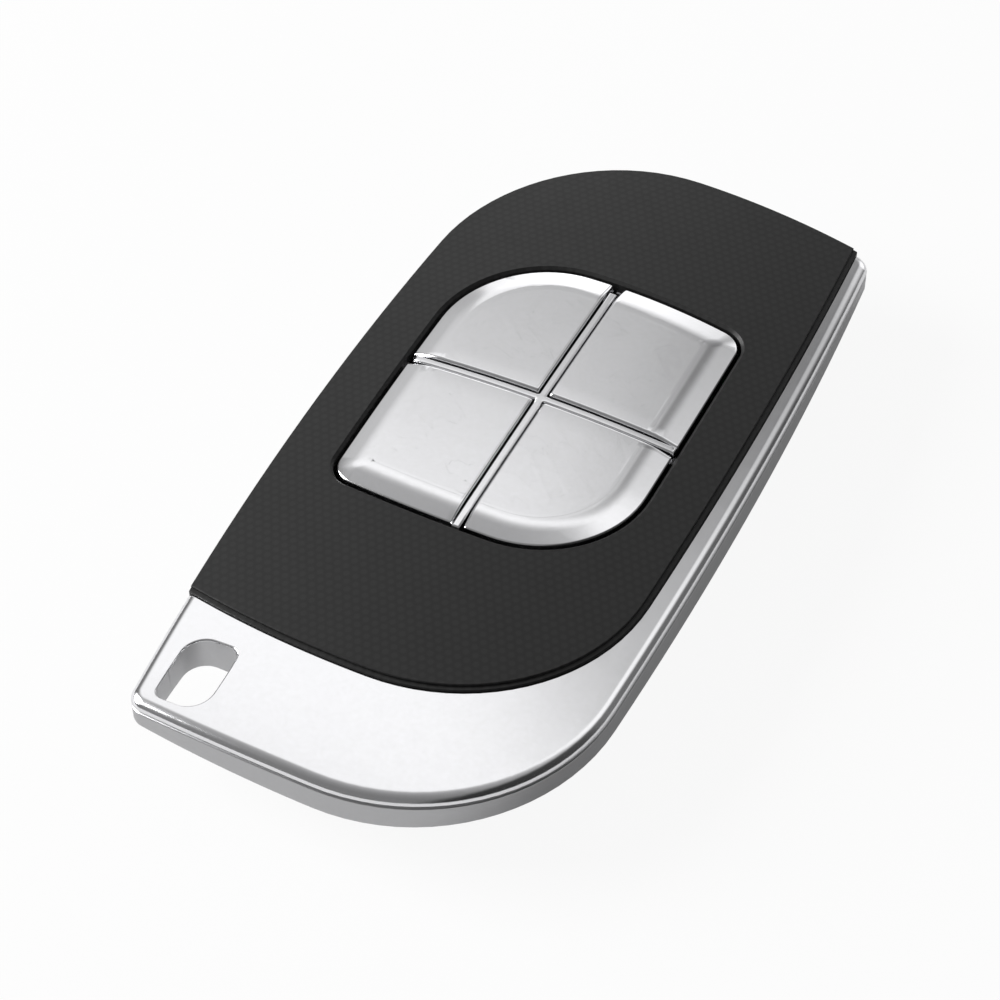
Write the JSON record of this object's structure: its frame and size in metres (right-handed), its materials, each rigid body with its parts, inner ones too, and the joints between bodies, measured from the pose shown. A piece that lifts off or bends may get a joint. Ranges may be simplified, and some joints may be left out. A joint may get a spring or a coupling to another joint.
{
  "type": "gate remote control",
  "caption": "Slim leaf-shaped key-ring fob with silver push keys in a black cover plate, a bright rim and a key eye at one corner, for opening gates and doors by radio.",
  "frame": {"origin": "middle of the footprint, on the surface that the fob rests on when it lies on its back", "axes": "+Z out of the keys, +Y along the fob towards its rounded head, -Y towards the key eye, +X to the right of the reader"},
  "size_m": [0.0373, 0.0746, 0.011],
  "materials": {
    "plated_silver": "satin chrome plating on moulded ABS",
    "silver_wall": "silver lacquer on moulded ABS",
    "black_plate": "dark plate with a fine woven texture",
    "key_silver": "satin chrome plating on moulded ABS",
    "board_green": "glass-fibre laminate with solder mask",
    "switch_black": "moulded nylon",
    "plunger_white": "moulded acetal",
    "cell_steel": "nickel-plated steel",
    "spring_steel": "nickel-plated spring steel",
    "chip_black": "moulded epoxy",
    "can_steel": "plated metal can",
    "antenna_copper": "tinned copper strip",
    "capacitor_tan": "ceramic",
    "resistor_black": "ceramic with a dark coat",
    "screw_steel": "zinc-plated steel"
  },
  "bodies": {
    "fob": {"upper_shell": "plated_silver", "lower_shell": "silver_wall", "top_cover": "black_plate", "circuit_board": "board_green", "coin_battery": "cell_steel", "battery_contact": "spring_steel", "battery_clip": "spring_steel", "controller_chip": "chip_black", "radio_chip": "chip_black", "crystal_can": "can_steel", "loop_antenna": "antenna_copper", "chip_capacitors": "capacitor_tan", "chip_resistors": "resistor_black", "cover_screws": "screw_steel", "switch_upper_left": "switch_black", "switch_upper_right": "switch_black", "switch_lower_left": "switch_black", "switch_lower_right": "switch_black"},
    "upper_left_key": {"key_upper_left": "key_silver", "plunger_upper_left": "plunger_white"},
    "upper_right_key": {"key_upper_right": "key_silver", "plunger_upper_right": "plunger_white"},
    "lower_left_key": {"key_lower_left": "key_silver", "plunger_lower_left": "plunger_white"},
    "lower_right_key": {"key_lower_right": "key_silver", "plunger_lower_right": "plunger_white"}
  },
  "joints": [
    {"name": "upper_left_key_press", "type": "slide", "parent": "fob", "child": "upper_left_key", "axis": [0, 0, -1], "range_m": [0, 0.0003], "stiffness_N_per_m": 2000, "springref_m": -0.0003},
    {"name": "upper_right_key_press", "type": "slide", "parent": "fob", "child": "upper_right_key", "axis": [0, 0, -1], "range_m": [0, 0.0003], "stiffness_N_per_m": 2000, "springref_m": -0.0003},
    {"name": "lower_left_key_press", "type": "slide", "parent": "fob", "child": "lower_left_key", "axis": [0, 0, -1], "range_m": [0, 0.0003], "stiffness_N_per_m": 2000, "springref_m": -0.0003},
    {"name": "lower_right_key_press", "type": "slide", "parent": "fob", "child": "lower_right_key", "axis": [0, 0, -1], "range_m": [0, 0.0003], "stiffness_N_per_m": 2000, "springref_m": -0.0003}
  ]
}
